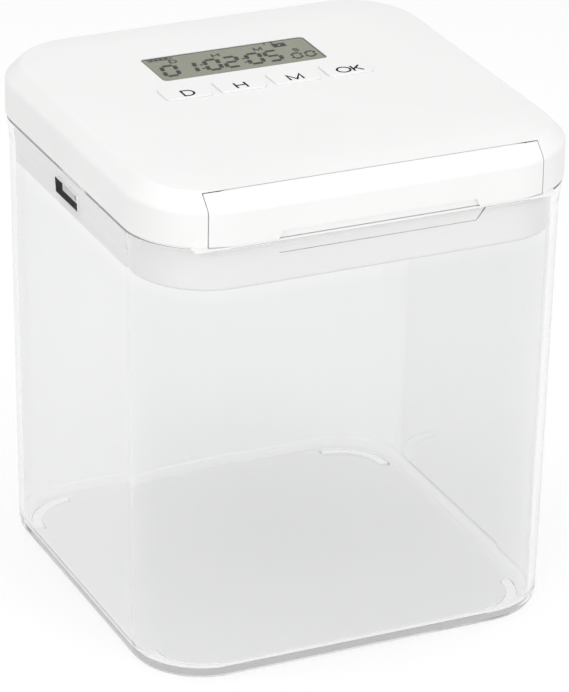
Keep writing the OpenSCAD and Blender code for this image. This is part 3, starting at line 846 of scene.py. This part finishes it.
def display_marks(bm):
    """Days, hours, minutes and seconds, their letters, a battery and an open padlock."""
    low, high = SEGMENT_LOW, SEGMENT_HIGH
    for digit, x in zip("010205", (-28.3, -22.1, -14.3, -8.1, -0.4, 5.8)):
        add_digit(bm, digit, x, DIGIT_Y, 4.3, 8.1, 1.42)
    for digit, x in zip("00", (13.7, 18.2)):
        add_digit(bm, digit, x, 20.4, 2.8, 4.1, 0.95)
    for x in (-15.75, -1.75):
        for y in (23.1, 26.1):
            lean = (y - DIGIT_Y) * LEAN
            dot = ((-0.45, -0.45), (0.45, -0.45), (0.55, 0.45), (-0.35, 0.45))
            add_prism(bm, [(x + lean + a, y + b) for a, b in dot], low, high)
    for letter, *place in UNITS:
        add_letter(bm, letter, *place, 0.58, low, high, 0.1)
    # Battery: case, tip and four bars
    add_stroke(bm, [(-28.9, 33.9), (-21.9, 33.9), (-21.9, 35.7), (-28.9, 35.7)], 0.25, low, high, True)
    add_prism(bm, box_outline((-21.6, -21.0), (34.3, 35.3)), low, high)
    for k in range(4):
        add_prism(bm, box_outline((-28.4 + 1.6 * k, -27.2 + 1.6 * k), (34.2, 35.4)), low, high)
    # Open padlock: body with a keyhole, and a shackle swung clear to the left
    add_stroke(bm, [(12.3, 31.7), (15.6, 31.7), (15.6, 33.7), (12.3, 33.7)], 1.0, low, high, True)
    add_prism(bm, box_outline((12.7, 13.6), (32.1, 33.3)), low, high)
    add_prism(bm, box_outline((14.4, 15.2), (32.1, 33.3)), low, high)
    shackle = [(12.5, 34.3), (12.5, 35.2)] + oval(11.25, 35.2, 1.25, 1.1, 0, 180, 12) + [(10.0, 34.6)]
    add_stroke(bm, shackle, 0.5, low, high)


finish_piece(build("display_marks", display_marks), "lid", "display_cell", material=SEGMENT)
window = round_rect(WIN_X, WIN_Y, WIN_W - 0.1, WIN_D - 0.1, 1.4)
face = build("display_face", lambda bm: add_prism(bm, window, CELL_Z + 0.02, FACE_Z))
finish_piece(face, "lid", "display_cell")
lens = build("display_cover", lambda bm: add_prism(bm, window, FACE_Z + 0.06, TOP_Z - 0.1))
soften(lens, 0.05, 2)
finish_piece(lens, "lid", "display_window", ["display_lens"])

mask = build("display_mask", lambda bm: add_prism(bm, window, FACE_Z + 0.01, FACE_Z + 0.05))
combine(mask, "DIFFERENCE", rounded(WIN_X, WIN_Y, WIN_W - 0.7, WIN_D - 0.8, 1.1, (CELL_Z, TOP_Z)))
finish_piece(mask, "lid", "display_window", material=INK)

# ------------------------------------------------------- stage and camera


def seen_directly(nodes, links):
    """1 for rays that see the surface straight, mirrored or through glass."""
    path = nodes.new("ShaderNodeLightPath")
    share = path.outputs["Is Camera Ray"]
    for kind in ("Is Glossy Ray", "Is Transmission Ray"):
        most = nodes.new("ShaderNodeMath")
        most.operation = "MAXIMUM"
        links.new(share, most.inputs[0])
        links.new(path.outputs[kind], most.inputs[1])
        share = most.outputs[0]
    return share


FLOOR_ALBEDO, FLOOR_GLOW = 0.80, 0.25
floor_mat = bpy.data.materials.new("studio_floor")
floor_mat.use_nodes = True
tree = floor_mat.node_tree
tree.nodes.clear()
out = tree.nodes.new("ShaderNodeOutputMaterial")
diffuse = tree.nodes.new("ShaderNodeBsdfDiffuse")
diffuse.inputs["Color"].default_value = (FLOOR_ALBEDO,) * 3 + (1,)
glow = tree.nodes.new("ShaderNodeEmission")
glow_level = tree.nodes.new("ShaderNodeMath")
glow_level.operation = "MULTIPLY"
glow_level.inputs[1].default_value = FLOOR_GLOW
tree.links.new(seen_directly(tree.nodes, tree.links), glow_level.inputs[0])
tree.links.new(glow_level.outputs[0], glow.inputs["Strength"])
both = tree.nodes.new("ShaderNodeAddShader")
tree.links.new(diffuse.outputs[0], both.inputs[0])
tree.links.new(glow.outputs[0], both.inputs[1])
tree.links.new(both.outputs[0], out.inputs["Surface"])
bm = bmesh.new()
bmesh.ops.create_grid(bm, x_segments=1, y_segments=1, size=6.0)
floor = mesh_object("studio_floor", bm)
floor.data.materials.append(floor_mat)

WORLD_LIGHT = 0.65
world = bpy.data.worlds.new("studio")
scene.world = world
world.use_nodes = True
nodes, links = world.node_tree.nodes, world.node_tree.links
back = nodes["Background"]
back.inputs["Color"].default_value = (1, 1, 1, 1)
level = nodes.new("ShaderNodeMapRange")
level.inputs["To Min"].default_value = WORLD_LIGHT
level.inputs["To Max"].default_value = 1.0
links.new(seen_directly(nodes, links), level.inputs["Value"])
links.new(level.outputs["Result"], back.inputs["Strength"])


def area_light(name, place, aim, size, power):
    data = bpy.data.lights.new(name, "AREA")
    data.shape, data.size, data.size_y, data.energy = "RECTANGLE", size[0], size[1], power
    lamp = bpy.data.objects.new(name, data)
    lamp.location = place
    lamp.rotation_euler = (Vector(aim) - Vector(place)).to_track_quat("-Z", "Y").to_euler()
    lamp.visible_camera = False
    scene.collection.objects.link(lamp)


area_light("top_softbox", (-0.1, -0.15, 1.5), (0, 0, 0.1), (1.4, 1.4), 5.8)
area_light("front_softbox", (0.6, -1.5, 0.8), (0, 0, 0.1), (1.4, 1.0), 8.0)
area_light("left_softbox", (-1.2, -0.8, 0.6), (0, 0, 0.1), (1.2, 1.0), 5.6)

PHOTO_LONG_SIDE, FOCAL_PX = 692, 4321.8
camera_data = bpy.data.cameras.new("camera")
camera_data.sensor_width = 36.0
camera_data.lens = FOCAL_PX / PHOTO_LONG_SIDE * camera_data.sensor_width
camera_data.clip_start, camera_data.clip_end = 0.05, 20.0
camera = bpy.data.objects.new("camera", camera_data)
place = (-0.50601, -1.09845, 0.63176)
right = Vector((0.91048, -0.41322, 0.01640)).normalized()
forward = Vector((0.38157, 0.82413, -0.41858)).normalized()
up = right.cross(forward).normalized()
turn = Matrix((right, up, -forward)).transposed().to_4x4()
camera.matrix_world = Matrix.Translation(place) @ turn
scene.collection.objects.link(camera)
scene.camera = camera

bpy.context.view_layer.update()
